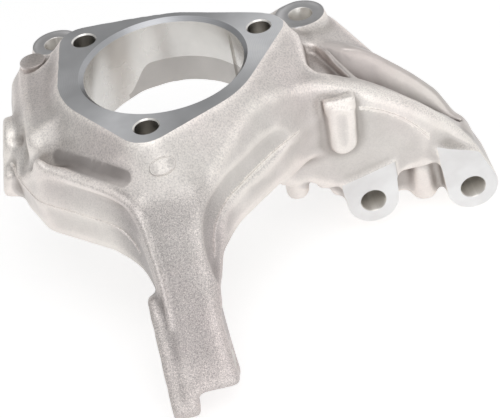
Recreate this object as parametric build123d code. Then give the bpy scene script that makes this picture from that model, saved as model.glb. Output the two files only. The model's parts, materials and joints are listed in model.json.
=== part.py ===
"""Cast aluminium steering knuckle: one solid, hub face up, origin at the bore centre on that face."""
import os
from math import atan2, cos, degrees, radians, sin, sqrt
from build123d import *

os.makedirs("parts", exist_ok=True)

# Hub: trilobe machined face, bearing bore and three bolt holes
bore_r = 50.0
bore_chamfer = 2.6
bolt_circle_r = 65.0
bolt_count = 3
bolt_first_angle = 15.0
bolt_hole_r = 7.2
bolt_seat_r = 12.0
lobe_r = 16.0
hub_pad_r = 59.8
hub_pad_shift = 4.3
hub_depth = 50.0
skirt_angle = 44.0
brow_drop = 17.0
brow_back = 4.0

# Outer body: seen from above it is a drafted outline that parts at one level
parting_z = -43.0
upper_draft = 15.0
lower_draft = 3.0
body_floor_z = -68.0
body_dip_y = -84.0
body_dip_z = -87.0
shell_wall = 11.0
core_roof_z = -38.0
shoulder_z = -12.0
shoulder_lean = 38.0
wall_left_x = -90.5
wall_left_y = -54.0
wall_right_y = -104.0
web_top_z = -20.5
web_width = 12.5
web_length = 78.0

# Steering arm that runs down and towards -Y
arm_left_x = -33.0
arm_right_x = 6.0
arm_start_y = -101.0
arm_start_z = -22.0
arm_end_y = -163.0
arm_end_z = -122.0
arm_depth = 33.0
lug_left_x = -38.0
lug_right_x = -22.0
lug_length = 14.0
lug_rise = 60.0
arm_hole_r = 7.0
arm_hole_up = 13.0
arm_hole_in = 16.0

# Strut arm that arches out to +X and down to two bored ears
arch_r = 165.0
arch_x = 41.3
arch_z = -180.5
arch_end_x = 194.0
wall_y = -31.0
ridge_y = -26.0
back_y = 9.0
parting_arch_r = 74.0
parting_arch_x = 88.0
parting_drop = 17.0
wall_heel_share = 0.84
ridge_lean = 73.0
wall_floor_z = -100.5
ear_face_y = -30.0
ear_hole_r = 7.9
ear_spacing = 66.0
ear_slope = -6.1
ear_x = 112.5
ear_z = -118.1
ear_r = 17.0
recess_y = -14.0
recess_floor_z = -129.0
column_r = 8.5
channel_depth = 17.0
hose_boss_left_x = 90.3
hose_boss_right_x = 108.3
hose_boss_top_z = -31.5
hose_boss_length = 41.0
hose_boss_reach = 7.0
tip_pad_x = 181.0
tip_pad_rise = 2.2
sensor_boss_r = 7.5
sensor_boss_x = 66.0

# Caliper bosses, parallel to the hub axis and equally far from it
caliper_r = 107.5
caliper_face_z = -20.0
caliper_boss_r = 15.5
caliper_hole_r = 7.6
caliper_boss_length = hub_depth + caliper_face_z
caliper_angles = (29.9, 128.6)

# Ball joint boss at the left end
joint_boss_r = 16.0
joint_boss_end_x = -108.5
joint_boss_y = 4.0
joint_boss_z = -34.0
joint_boss_length = 40.0
joint_tilt = 15.0
joint_hole_r = 8.0
joint_hole_depth = 26.0
clamp_width = 20.0
clamp_height = 19.0


def polar(radius, angle):
    """Point at a radius and an angle about the hub axis."""
    return Vector(radius * cos(radians(angle)), radius * sin(radians(angle)))


bolt_angles = [bolt_first_angle + 360.0 / bolt_count * i for i in range(bolt_count)]
ear_near = Vector(ear_x, ear_z)
ear_far = ear_near + polar(ear_spacing, ear_slope)


arm_slope = degrees(atan2(arm_start_z - arm_end_z, arm_start_y - arm_end_y))
wall_heel_x = parting_arch_x + wall_heel_share * parting_arch_r


def arm_front_y(z):
    """Place of the steering arm's flat front at a height."""
    return arm_start_y + (z - arm_start_z) / (arm_end_z - arm_start_z) * (arm_end_y - arm_start_y)


def side_plane(y):
    """Plane across the Y axis: sketch X is X, sketch Y is Z, and it faces -Y."""
    return Plane(origin=(0, y, 0), x_dir=(1, 0, 0), z_dir=(0, -1, 0))


def slab(face, y_front, y_back):
    """Extrudes a side sketch from its front plane to its back plane."""
    return extrude(side_plane(y_front) * face, y_back - y_front, dir=(0, 1, 0))


def arch_height(x):
    """Height of the strut arm's ridge at a place along it."""
    return arch_z + sqrt(arch_r**2 - (x - arch_x) ** 2)


def parting_height(x):
    """Height of the parting line on the strut arm's front wall."""
    crown = arch_height(parting_arch_x) - parting_drop
    return crown - parting_arch_r + sqrt(parting_arch_r**2 - (x - parting_arch_x) ** 2)


def rounded(corners):
    """Face from corners, each with its own rounding radius."""
    return make_face(FilletPolyline(*[c[:2] for c in corners], radius=[c[2] for c in corners], close=True))


def hub_outline():
    """Machined face: a round pad drawn out to a lobe at each bolt."""
    rounds = [Pos(*polar(bolt_circle_r, angle)) * CenterArc((0, 0), lobe_r, 0, 360) for angle in bolt_angles]
    rounds.append(Pos(*polar(hub_pad_shift, bolt_angles[-1])) * CenterArc((0, 0), hub_pad_r, 0, 360))
    return make_hull([edge for ring in rounds for edge in ring.edges()])


def body_outline():
    """Outer edge of the casting at the parting level, seen along the hub axis."""
    return rounded([
        (arm_right_x, -160, 2), (arm_right_x, -106, 48), (84, wall_y, 36), (118, wall_y, 2),
        (118, 12, 2), (60, 34, 6), (-52, 60, 6), (-92, 80, 14), (-104, 60, 12),
        (-103, -24, 24), (wall_left_x, wall_left_y, 20), (arm_left_x, wall_right_y, 34),
        (arm_left_x, -160, 2),
    ])


def drafted_body():
    """Prism on the body outline that narrows upwards and downwards from the parting level."""
    outline = Pos(0, 0, parting_z) * body_outline()
    upper = extrude(outline, -parting_z, dir=(0, 0, 1), taper=upper_draft)
    lower = extrude(outline, 60, dir=(0, 0, -1), taper=lower_draft)
    return upper + lower


def skirt():
    """Cone-like flank that falls away all round the hub face, down to the floor of the body."""
    flank = extrude(hub_outline(), -parting_z, dir=(0, 0, -1), taper=-skirt_angle) + near_web()
    brow_z = parting_z - brow_drop
    brow = make_face(Polyline(
        (arm_front_y(2), 2), (arm_front_y(brow_z) + brow_back, brow_z), (150, brow_z), (150, 2), close=True))
    side = make_face(Polyline(
        (120, parting_z), (120, body_floor_z), (body_dip_y, body_floor_z), (-97, body_floor_z - 8),
        (-106, body_dip_z), (arm_front_y(body_dip_z) + 6, body_dip_z),
        (arm_front_y(parting_z) + 2, parting_z), close=True))
    flank &= Pos(-150, 0, 0) * extrude(Plane.YZ * brow, 320, dir=(1, 0, 0))
    return flank + Pos(-150, 0, 0) * extrude(Plane.YZ * side, 300, dir=(1, 0, 0))


def near_web():
    """Raised edge along the near left wall, with a level top that climbs to the left shoulder."""
    along = Vector(arm_left_x - wall_left_x, wall_right_y - wall_left_y, 0).normalized()
    outward = Vector(along.Y, -along.X, 0)
    corner = Vector(wall_left_x, wall_left_y, 0)
    inner = Plane(origin=corner - outward * web_width, x_dir=along, z_dir=outward)
    top = rounded([
        (-26, parting_z, 1), (-21, web_top_z + 3, 6), (-9, web_top_z + 8, 6), (6, web_top_z + 0.6, 14),
        (web_length - 9, web_top_z, 12), (web_length + 16, parting_z, 1),
    ])
    return extrude(inner * top, 2 * web_width, dir=outward)


def arm_section(share, left, right, depth):
    """Cross-section of the steering arm at a share of its run, narrower at the front than at the back."""
    z = arm_start_z + share * (arm_end_z - arm_start_z)
    down = (0, -cos(radians(arm_slope)), -sin(radians(arm_slope)))
    across = Plane(origin=(0, arm_front_y(z), z), x_dir=(1, 0, 0), z_dir=down)
    flare = 0.07 * depth
    corners = [(left, 0, 4), (right, 0, 4), (right + flare, -depth, 5), (left - flare, -depth, 5)]
    return across * rounded(corners)


def steering_arm():
    """Steering arm lofted from the skirt down to its flat cut end."""
    sections = [
        arm_section(0.0, arm_left_x + 0.5, arm_right_x - 1, arm_depth + 7),
        arm_section(0.3, arm_left_x + 2.5, arm_right_x - 4.5, arm_depth + 3),
        arm_section(0.7, arm_left_x + 3.5, arm_right_x - 4.5, arm_depth),
        arm_section(1.0, arm_left_x + 0.5, arm_right_x - 2, arm_depth),
    ]
    return loft(sections)


def arm_lug():
    """Thicker joint lug on the arm's left side that reaches past its cut end."""
    slope = radians(arm_slope)
    down = (0, -cos(slope), -sin(slope))
    end = Plane(origin=(lug_left_x, arm_end_y, arm_end_z), x_dir=down, z_dir=(1, 0, 0))
    outline = rounded([
        (lug_length, 1, 8), (lug_length, 29, 10), (-lug_rise, 26, 8), (-lug_rise, 6, 4),
        (-lug_rise + 12, 1, 8),
    ])
    return extrude(end * outline, lug_right_x - lug_left_x, dir=(1, 0, 0))


def left_shoulder():
    """Shoulder along the left wall, between the hub, the far caliper boss and the ball joint boss."""
    top = rounded([
        (-40, -22, 3), (-72, -22, 12), (-88, -6, 14), (-90, 30, 8), (-88, 58, 8), (-76, 68, 8), (-40, 60, 3),
    ])
    return Pos(0, 0, shoulder_z) * extrude(top, 50, dir=(0, 0, -1), taper=-shoulder_lean)


def arch_profile(left, bottom):
    """Side view of the strut arm under its ridge, from a place near the hub to its tip."""
    window = Pos(left, bottom) * Rectangle(200, 120, align=(Align.MIN, Align.MIN))
    return Pos(arch_x, arch_z) * Circle(arch_r) & window


def wall_profile():
    """Side view of the strut arm's front wall under its parting line."""
    left = 30.0
    floor_z = wall_floor_z - 50
    middle_x = (parting_arch_x + wall_heel_x) / 2
    crown = (parting_arch_x, parting_height(parting_arch_x))
    heel = (wall_heel_x, parting_height(wall_heel_x))
    return make_face([
        Line((left, floor_z), (left, crown[1])),
        Line((left, crown[1]), crown),
        ThreePointArc(crown, (middle_x, parting_height(middle_x)), heel),
        Line(heel, (wall_heel_x, floor_z)),
        Line((wall_heel_x, floor_z), (left, floor_z)),
    ])


def strut_arm():
    """Arched arm that narrows towards its tip, with a front that leans back above the parting line."""
    plan = rounded([
        (50, wall_y, 2), (arch_end_x, wall_y, 2), (arch_end_x, -6, 6), (183, 4, 8), (150, 13, 30),
        (131, 20, 10), (112, 24, 4), (50, 24, 2),
    ])
    under = make_face(Polyline(
        (40, -71), (59, -71), (69, -87), (83, wall_floor_z - 1), (83, -120), (40, -120), close=True))
    arm = extrude(plan, -wall_floor_z, dir=(0, 0, -1))
    arm &= slab(arch_profile(50, wall_floor_z) - under, wall_y - 5, 60)
    front = extrude(side_plane(wall_y) * wall_profile(), ridge_y - wall_y, dir=(0, 1, 0), taper=-ridge_lean)
    behind = slab(Pos(120, -50) * Rectangle(300, 300), ridge_y, 80)
    return arm & (front + behind)


def ears():
    """Two bored ears and the set-back web between them, with its half column."""
    near_top = Line((93.6, -100), (ear_x + ear_r, -90))
    far_top = Line((157, -88), (184, -97.5))
    near = make_hull((Pos(*ear_near) * CenterArc((0, 0), ear_r, 0, 360)).edges() + near_top.edges())
    far = make_hull((Pos(*ear_far) * CenterArc((0, 0), ear_r, 0, 360)).edges() + far_top.edges())
    web = rounded([(110, -88, 2), (176, -88, 2), (176, recess_floor_z - 3, 2), (110, recess_floor_z, 2)])
    pair = slab(near, ear_face_y, back_y) + slab(far, ear_face_y, back_y) + slab(web, recess_y, back_y)
    up = (Align.CENTER, Align.CENTER, Align.MIN)
    column = Pos(149, recess_y, recess_floor_z - 6) * Cylinder(column_r, 40, align=up)
    return pair + column


def arch_pocket(plan, depth):
    """Pocket in the top of the strut arm, with a floor that follows the arch."""
    floor = side_plane(0) * Pos(arch_x, arch_z) * Circle(arch_r - depth)
    return extrude(plan, -wall_floor_z, dir=(0, 0, -1)) - extrude(floor, 60, both=True)


def channel():
    """Open channel along the top of the strut arm, and a small pocket inboard of it behind a thin rib."""
    long_plan = rounded([
        (100.5, 19, 2), (114, -12, 4), (142, -18.5, 20), (160, -18.5, 8), (177, -10, 2), (150, -1, 30),
        (136, 8, 16), (112, 19.5, 6),
    ])
    short_plan = rounded([(94.5, 25, 1), (87.5, -1, 4), (92.5, -8, 3), (107, -11, 1), (97.5, 21, 1)])
    return arch_pocket(long_plan, channel_depth) + arch_pocket(short_plan, channel_depth / 2)


def tip_pad():
    """Low rounded pad on the back of the strut arm near its tip."""
    top_z = arch_height(tip_pad_x)
    across = Vector(tip_pad_x - arch_x, 0, top_z - arch_z).normalized()
    place = Plane(origin=(tip_pad_x, -7, top_z), x_dir=(0, 1, 0), z_dir=across)
    return place * extrude(RectangleRounded(17, 11, 4), tip_pad_rise, both=True)


def caliper_link():
    """Web from the hub out to the right caliper boss and on to the strut arm."""
    plan = rounded([
        (50, 0, 2), (44, 40, 4), (78, 66, 6), (94, 71, 8), (112, 58, 8), (132, 18, 4), (120, -10, 2),
    ])
    bottom_z = caliper_face_z - caliper_boss_length
    return extrude(plan, -bottom_z, dir=(0, 0, -1)) & slab(arch_profile(30, bottom_z - 2), -20, 90)


def caliper_root():
    """Web from the left shoulder out to the left caliper boss."""
    boss = polar(caliper_r, caliper_angles[1])
    ring = Pos(*boss) * CenterArc((0, 0), caliper_boss_r, 0, 360)
    base = Line((-96, 40), (-38, 46))
    web = extrude(make_hull(ring.edges() + base.edges()), caliper_boss_length - 5, dir=(0, 0, -1))
    return Pos(0, 0, caliper_face_z - 5) * web


def caliper_boss(angle):
    """Round boss with a flat face, on a wider cast foot."""
    place = Pos(*polar(caliper_r, angle)) * Pos(0, 0, caliper_face_z)
    down = (Align.CENTER, Align.CENTER, Align.MAX)
    face = place * Cylinder(caliper_boss_r, caliper_boss_length, align=down)
    foot_drop = 3.5
    foot = Cylinder(caliper_boss_r + 2, caliper_boss_length - foot_drop, align=down)
    return face + place * Pos(0, 0, -foot_drop) * foot


def joint_plane():
    """Plane of the ball joint boss's end face: it looks inwards and its sketch X is Y."""
    tilt = radians(joint_tilt)
    inwards = (cos(tilt), 0, -sin(tilt))
    return Plane(origin=(joint_boss_end_x, joint_boss_y, joint_boss_z), x_dir=(0, 1, 0), z_dir=inwards)


def left_bosses():
    """Ball joint boss and the clamp block that hangs under it."""
    up = (Align.CENTER, Align.CENTER, Align.MIN)
    joint = joint_plane() * Cylinder(joint_boss_r, joint_boss_length, align=up)
    clamp = Pos(-4 - clamp_width / 2, -8 - clamp_height / 2) * RectangleRounded(clamp_width, clamp_height, 4)
    return joint + extrude(joint_plane() * clamp, joint_boss_length, dir=joint_plane().z_dir)


def hose_boss():
    """Upright rounded boss on the front wall of the strut arm."""
    left, right = hose_boss_left_x, hose_boss_right_x
    top_z = hose_boss_top_z
    foot_z = top_z - hose_boss_length
    outline = rounded([
        (left, top_z, 4), (right, top_z - 5.5, 4), (right - 1.8, foot_z, 8.6), (left, foot_z + 2, 7.2),
    ])
    return slab(outline, wall_y - hose_boss_reach, ridge_y)


def underside_bosses():
    """Three small bosses behind the strut arm that reach below its front wall."""
    down = (Align.CENTER, Align.CENTER, Align.MAX)
    sensor = Pos(sensor_boss_x, -22, -60) * Cylinder(sensor_boss_r, 46, align=down)
    pin = Pos(sensor_boss_x + 16, -22, -80) * Cylinder(4, 24, align=down)
    pad = Pos(sensor_boss_x + 25, -20, -80) * Box(8, 12, 32, align=down)
    return sensor + pin + pad


def cast_pads():
    """Two blank round pads: one on the left shoulder and one low on the skirt."""
    cap = Pos(-81.7, 52.7, -20) * Cylinder(8.4, 10, align=(Align.CENTER, Align.CENTER, Align.MIN))
    lean = radians(skirt_angle)
    disc = Plane(origin=(-12.2, -89.3, -11.2), z_dir=(0, -sin(lean), cos(lean)))
    return cap + disc * Cylinder(6, 2.6)


def body_pockets():
    """Cored space under the body: a roof under the skirt, open below the hub ring and on its far side."""
    inner = offset(body_outline(), -shell_wall, kind=Kind.INTERSECTION)
    void = Pos(0, 0, body_dip_z) * extrude(inner, core_roof_z - body_dip_z, dir=(0, 0, 1))
    up = (Align.CENTER, Align.CENTER, Align.MIN)
    arm_root = Pos(-13, -136, body_dip_z) * Box(60, 100, 80, align=up)
    strut_root = Pos(110, 0, body_dip_z) * Box(70, 100, 80, align=up)
    open_side = Pos(3, 28, body_dip_z) * Box(118, 146, -hub_depth - body_dip_z, align=up)
    return void - arm_root - strut_root + open_side


def strut_hollow():
    """Cored pocket under the root of the strut arm, open downwards."""
    return Pos(93, 1, wall_floor_z - 5) * extrude(RectangleRounded(26, 26, 5), 45, dir=(0, 0, 1))


def polar_sector(start, end):
    """Tall wedge about the hub axis between two angles."""
    reach = 80
    middle = (start + end) / 2
    wedge = make_face(Polyline(
        (0, 0), polar(reach, start), polar(reach * 1.3, middle), polar(reach, end), close=True))
    return Pos(0, 0, -100) * extrude(wedge, 100, dir=(0, 0, 1))


def machined_holes():
    """Every drilled hole and the bearing bore."""
    deep = (Align.CENTER, Align.CENTER, Align.MAX)
    cuts = Pos(0, 0, 1) * Cylinder(bore_r, 120, align=deep)
    cuts += Cone(bore_r, bore_r + bore_chamfer, bore_chamfer, align=deep)
    for angle in bolt_angles:
        place = Pos(*polar(bolt_circle_r, angle))
        cuts += place * Cylinder(bolt_hole_r, 90, align=deep)
        cuts += place * Pos(0, 0, -hub_depth) * Cylinder(bolt_seat_r, 90, align=deep)
    for angle in caliper_angles:
        cuts += Pos(*polar(caliper_r, angle)) * Cylinder(caliper_hole_r, 120, align=deep)
    for place in (ear_near, ear_far):
        cuts += slab(Pos(*place) * Circle(ear_hole_r), wall_y - 2, back_y + 12)
    up = (Align.CENTER, Align.CENTER, Align.MIN)
    cuts += joint_plane() * Cylinder(joint_hole_r, joint_hole_depth, align=up)
    relief = Pos(0, 0, -29) * Cylinder(bore_r + 1.6, 40, align=deep)
    cuts += relief & polar_sector(30, 118)
    cuts += Pos(0, 0, -2.5) * Cylinder(bore_r + 1.2, 80, align=deep) & polar_sector(8, 33)
    slope = radians(arm_slope)
    hole_y = arm_end_y + arm_hole_up * cos(slope) + arm_hole_in * sin(slope)
    hole_z = arm_end_z + arm_hole_up * sin(slope) - arm_hole_in * cos(slope)
    cuts += Plane(origin=(-15, hole_y, hole_z), z_dir=(1, 0, 0)) * Cylinder(arm_hole_r, 80)
    return cuts


def build_knuckle():
    """Unites the cast forms and cuts the machined ones."""
    arch_root = slab(arch_profile(56, -71), -60, 24) & Pos(78, 0, 0) * Box(48, 200, 400)
    body = (skirt() + left_shoulder() + arch_root) & drafted_body()
    body -= body_pockets()
    body += extrude(hub_outline(), hub_depth, dir=(0, 0, -1))
    body += steering_arm()
    body += arm_lug()
    body += strut_arm()
    body += tip_pad()
    body += ears()
    body += caliper_link()
    body += caliper_root()
    for angle in caliper_angles:
        body += caliper_boss(angle)
    body += left_bosses()
    body += hose_boss()
    body += underside_bosses()
    body += cast_pads()
    body -= channel() + strut_hollow()
    body -= machined_holes()
    return body


knuckle = build_knuckle()
print("solids", len(knuckle.solids()), "valid", knuckle.is_valid, "kg", knuckle.volume * 2.7e-6)
export_step(knuckle, "parts/knuckle_casting.step")
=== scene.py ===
"""Dresses the cast aluminium steering knuckle: soft cast skin, crisp machined faces, plain studio light."""
import json
import math
from functools import reduce
import bmesh
import bpy
import numpy as np
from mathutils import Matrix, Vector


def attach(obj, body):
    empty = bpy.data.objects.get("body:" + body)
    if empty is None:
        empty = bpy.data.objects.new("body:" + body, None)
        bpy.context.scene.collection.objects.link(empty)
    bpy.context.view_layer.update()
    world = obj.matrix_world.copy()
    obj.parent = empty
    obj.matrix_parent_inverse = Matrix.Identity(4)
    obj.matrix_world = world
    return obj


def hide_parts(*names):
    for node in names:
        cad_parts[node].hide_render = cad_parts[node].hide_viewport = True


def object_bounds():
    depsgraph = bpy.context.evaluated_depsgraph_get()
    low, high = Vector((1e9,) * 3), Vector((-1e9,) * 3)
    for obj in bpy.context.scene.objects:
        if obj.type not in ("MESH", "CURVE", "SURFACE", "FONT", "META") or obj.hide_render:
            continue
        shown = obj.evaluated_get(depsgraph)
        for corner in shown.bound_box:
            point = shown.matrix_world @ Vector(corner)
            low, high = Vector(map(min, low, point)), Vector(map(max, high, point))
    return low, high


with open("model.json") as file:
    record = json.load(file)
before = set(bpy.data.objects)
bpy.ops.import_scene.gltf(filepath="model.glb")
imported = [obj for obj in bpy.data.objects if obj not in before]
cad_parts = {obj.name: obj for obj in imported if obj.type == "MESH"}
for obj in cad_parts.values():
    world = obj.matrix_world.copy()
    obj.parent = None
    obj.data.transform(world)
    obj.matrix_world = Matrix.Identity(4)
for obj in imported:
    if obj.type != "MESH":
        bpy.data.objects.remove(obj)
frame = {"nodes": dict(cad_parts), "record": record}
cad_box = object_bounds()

import openvdb
from mathutils import Matrix, Vector
from mathutils.bvhtree import BVHTree
from mathutils.kdtree import KDTree

MM = 0.001
PHOTO_WIDTH = 500
NODE = "knuckle_casting"
mounts = {m["name"]: m for m in frame["record"]["mounts"]}


def mount_mm(name):
    """A mount's place in millimetres."""
    return np.array(mounts[name]["pos_m"]) / MM


def mount_r(name):
    """A round mount's radius in millimetres."""
    return mounts[name]["dims"]["r_mm"]


def read(items, name, width, kind=np.float32):
    """One property of all vertices or faces of a mesh, a row for each."""
    values = np.empty(len(items) * width, kind)
    items.foreach_get(name, values)
    return values.reshape(-1, width)


# Sizes in millimetres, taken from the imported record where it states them. Hub face and bearing bore, with the
# low relief and the run-out in the bore given by their angles.
bore_r = mount_r("hub_bore")
bore_chamfer = 2.6
bore_depth = 50.0
relief_start, relief_end = 30.0, 122.0
relief_drop = 29.0
relief_slant = 16.0
relief_cut = 1.8
runout_start, runout_end = 8.0, 30.0
runout_cut = 1.2
bolt_circle_r = mounts["hub_bolts"]["dims"]["pcd_mm"] / 2
bolt_r = mounts["hub_bolts"]["dims"]["hole_r_mm"]
bolt_chamfer = 0.9
bolt_angles = (15.0, 135.0, 255.0)
lobe_r = 16.0
hub_pad_r = 59.8
hub_pad_shift = 4.3
hub_pad_bulge = 6.0
skirt_lean = math.tan(math.radians(44))

# Caliper bosses, strut ears, the bores at the two ends, and the two blank pads.
caliper_centres = [mount_mm("caliper_bore_strut_side"), mount_mm("caliper_bore_joint_side")]
caliper_r = mount_r("caliper_bore_strut_side")
caliper_face_z = -20.0
caliper_boss_r = 15.5
face_step = 0.4
ear_centres = [mount_mm("ear_bore_inner"), mount_mm("ear_bore_outer")]
ear_hole_r = mount_r("ear_bore_inner")
ear_face_y = -30.0
ear_r = 17.0
ear_tops = [((93.6, -100.0), (129.5, -90.0)), ((157.0, -88.0), (184.0, -97.5))]
end_bores = ("ball_joint_bore", "steering_arm_bore")
cap_centre = (-81.7, 52.7, -10.0)
cap_r = 8.4
cap_clear = 3.5
disc_centre = (-12.2, -89.3, -11.2)
disc_r = 8.0
disc_share = 0.66

# Near wall's direction, and the strut arm's arch with the coves that are cut into it.
web_normal = (-0.657, -0.754)
arch_r = 165.0
arch_x = 41.3
arch_z = -180.5
channel_outline = [(99.5, 20), (114.5, -13), (142, -18.5), (160, -18.5), (178, -9), (181, -3), (150, 9.5),
                   (131, 16), (112, 21)]
channel_depth = 17.0
pocket_outline = [(96, 21), (88.5, 24), (86.5, -8), (91, -11.5), (111, -14.5)]
pocket_depth = 6.0
rim_outline = [(100, -2), (112, 24.5), (131, 20.5), (150, 13.5), (183, 4.5), (192, -2)]
rim_rise = 3.2
link_outline = [(92, 74), (98, 74), (115, 60), (136, 20), (124, 0), (100, 10)]

# Ridge over the near wall, band under the right brow, parting line, trough, hose boss and recess.
ridge_line = [(-86, -43.5, -24), (-66.8, -64.7, -23.6), (-45.3, -85.2, -24), (-33.6, -98.3, -26.9),
              (-30.5, -107, -34), (-29.5, -114, -44), (-27.5, -127, -64), (-28, -141, -88)]
ridge_start_r, ridge_wall_r, ridge_mid_r, ridge_end_r = 1.6, 3.0, 3.2, 1.4
groove_line = [(26, -119.5, -68), (24.4, -120.5, -53), (25.5, -116.3, -40), (36.3, -104, -34),
               (50.3, -90.9, -33), (66.3, -74.5, -33), (78, -66.5, -33), (90, -72, -33)]
groove_r = 24.0
seam_left = [(-102.4, -8, -43), (-101, -25, -43), (-95.4, -41.4, -43), (-86.9, -57.7, -43), (-72, -69, -43),
             (-60.9, -78.9, -43), (-47.5, -91.6, -43.5), (-39.9, -98, -48), (-36, -104, -58)]
seam_right = [(5, -106.4, -69.2), (7.9, -103.7, -56.8), (11.8, -100, -49.5), (20, -90, -44), (35, -76, -42.5),
              (55, -57, -42), (72, -42, -42)]
seam_arch_r, seam_arch_x, seam_arch_z = 74.0, 88.0, -113.25
seam_r, seam_step, seam_stands = 0.75, 1.5, 0.8
trough_line = [(-74.5, -43, -16.8), (-56, -65, -13.5), (-36, -87, -12)]
trough_floor = 3.2
hose_block = ((89.3, -36.5, -40.0), (109.3, -28.0, -31.0))
recess_centre = (-99.5, -13.0, -22.5)
recess_r = 6.5

# Corners of the solids that fill out the casting.
arm_root_points = [(-27, -74, -2), (-7, -76, -2), (-35, -100, -25), (4, -101, -26), (-43, -90, -31),
                   (9, -88, -24), (-33, -70, -40), (2, -70, -40), (-32, -110.5, -37), (1, -110.5, -37)]
wall_foot = [[(52, -65), (54, -91), (76, -91.4), (90, -65)],
             [(74, -65), (76, -91.4), (84, -100.2), (95, -100.2), (95, -65)]]
shoulder_points = [(-59, -24, -3), (-59, 42, -3), (-90, -26, -14), (-91, 46, -14), (-60, -38, -13),
                   (-60, 54, -12), (-50, -20, -24), (-50, 50, -24), (-92, -24, -24), (-92, 46, -24)]

# The raw casting: stock on faces to be machined, plugs past the edges of holes, radii of inside corners
# (fillets) and outside corners (rounds), passes of blur, and the skin's waves as size, seed and height.
stock = 4.0
bore_plug, hole_plug, ear_plug = 3.6, 1.6, 1.5
fillet_small, fillet_large = 2.4, 9.0
round_small, round_large = 1.8, 4.5
skin_blur, root_blur, last_blur, shade_blur = 2, 24, 1, 4
waves = ((9.0, 4, 0.06), (4.0, 9, 0.03))
hole_sides = 64
voxel = 1.15
triangle_budget = 175000
weld_mm = 0.002
flat_tolerance = 0.03
sharp_meeting, sharp_anywhere = 0.3, 0.9


# Distance fields on one regular grid.
node_mesh = frame["nodes"][NODE].data
node_mesh.calc_loop_triangles()
corner = read(node_mesh.vertices, "co", 3) / MM
triangle = read(node_mesh.loop_triangles, "vertices", 3, np.int32)

margin = 16
first = np.floor(corner.min(0) / voxel).astype(int) - margin
last = np.ceil(corner.max(0) / voxel).astype(int) + margin
shape = tuple(last - first + 1)
axis_mm = [(np.arange(n) + f) * voxel for n, f in zip(shape, first)]
grid_transform = openvdb.createLinearTransform(voxelSize=voxel)


def distances(points, width, **faces):
    """Signed distance in millimetres to a closed mesh, cut off at a width, on the shared grid."""
    faces = {k: v.astype(np.uint32) for k, v in faces.items()}
    grid = openvdb.FloatGrid.createLevelSetFromPolygons(
        points.astype(np.float32), transform=grid_transform, halfWidth=width / voxel, **faces)
    field = np.empty(shape, np.float32)
    grid.copyToArray(field, ijk=tuple(int(v) for v in first))
    return field


def surface(field, level=0.0):
    """Points and quads where a field takes a level."""
    grid = openvdb.FloatGrid(float(field.max()))
    grid.copyFromArray(np.ascontiguousarray(field), ijk=tuple(int(v) for v in first))
    grid.transform = grid_transform
    return grid.convertToQuads(isovalue=level)


def closed(field, radius):
    """Fills inside corners to a radius."""
    points, quads = surface(field, radius)
    return distances(points, radius + 6 * voxel, quads=quads) + radius


def opened(field, radius):
    """Rounds outside corners to a radius."""
    points, quads = surface(field, -radius)
    return distances(points, radius + 6 * voxel, quads=quads) - radius


def ramp(value, low, high):
    """Smooth step from 0 to 1 between two values."""
    t = np.clip((value - low) / (high - low), 0, 1)
    return t * t * (3 - 2 * t)


def mixed(a, b, share):
    """Blends two fields, each cut off near its surface first."""
    limit = 6.0
    return np.clip(a, -limit, limit) * (1 - share) + np.clip(b, -limit, limit) * share


def softened(field, passes):
    """Light blur that takes the grid's steps and the last creases off."""
    for _ in range(passes):
        for axis in range(3):
            field = 0.5 * field + 0.25 * (np.roll(field, 1, axis) + np.roll(field, -1, axis))
    return field


def block(low, high):
    """Slices and coordinates of the part of the grid between two corners."""
    cut = []
    coords = []
    for k in range(3):
        i = max(0, int(np.searchsorted(axis_mm[k], low[k])))
        j = min(shape[k], int(np.searchsorted(axis_mm[k], high[k])))
        cut.append(slice(i, j))
        coords.append(axis_mm[k][i:j].reshape([-1 if k == n else 1 for n in range(3)]))
    return tuple(cut), coords


def unite(field, low, high, measure):
    """Adds a solid, given by its distance function, to a field."""
    cut, (x, y, z) = block(low, high)
    field[cut] = np.minimum(field[cut], measure(x, y, z))


def upright_cylinder(centre, radius, low_z, high_z):
    """Distance function of a cylinder along Z."""
    def measure(x, y, z):
        side = np.sqrt((x - centre[0]) ** 2 + (y - centre[1]) ** 2) - radius
        return np.maximum(side, np.maximum(low_z - z, z - high_z))
    return measure


def hull(points):
    """Convex outline of plan points, anticlockwise."""
    points = sorted(set((round(float(a), 4), round(float(b), 4)) for a, b in points))

    def chain(ordered):
        line = []
        for p in ordered:
            while len(line) > 1:
                (ax, ay), (bx, by) = line[-2], line[-1]
                if (bx - ax) * (p[1] - ay) - (by - ay) * (p[0] - ax) > 0:
                    break
                line.pop()
            line.append(p)
        return line[:-1]
    return np.array(chain(points) + chain(points[::-1]))


def ring(centre, radius, count=48):
    """Points on a circle."""
    angle = np.arange(count) * 2 * math.pi / count
    return [(centre[0] + radius * math.cos(a), centre[1] + radius * math.sin(a)) for a in angle]


def polar(radius, degrees):
    """Plan point at a radius and angle about the hub axis."""
    return radius * math.cos(math.radians(degrees)), radius * math.sin(math.radians(degrees))


def hub_outline():
    """Machined hub face: a pad drawn out to three lobes."""
    points = ring(polar(hub_pad_shift, bolt_angles[2]), hub_pad_r, 96)
    points += ring((-hub_pad_bulge, 0), hub_pad_r, 96)
    for angle in bolt_angles:
        points += ring(polar(bolt_circle_r, angle), lobe_r, 48)
    return hull(points)


def outward(outline):
    """Unit normals and offsets of an outline's edges."""
    edge = np.roll(outline, -1, 0) - outline
    normal = np.stack([edge[:, 1], -edge[:, 0]], 1)
    normal /= np.linalg.norm(normal, axis=1, keepdims=True)
    return normal, (normal * outline).sum(1)


def farthest(measures):
    """Largest of several distances at each place: below 0 only inside all of them."""
    return reduce(np.maximum, measures)


def hub_stock(x, y, z):
    """Casting stock above the hub face, which narrows upwards as the skirt does."""
    normal, offset = outward(hub_outline())
    side = farthest((a * x + b * y - c + skirt_lean * z) * 0.72 for (a, b), c in zip(normal, offset))
    return np.maximum(side, np.maximum(-3 - z, z - 7))


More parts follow.
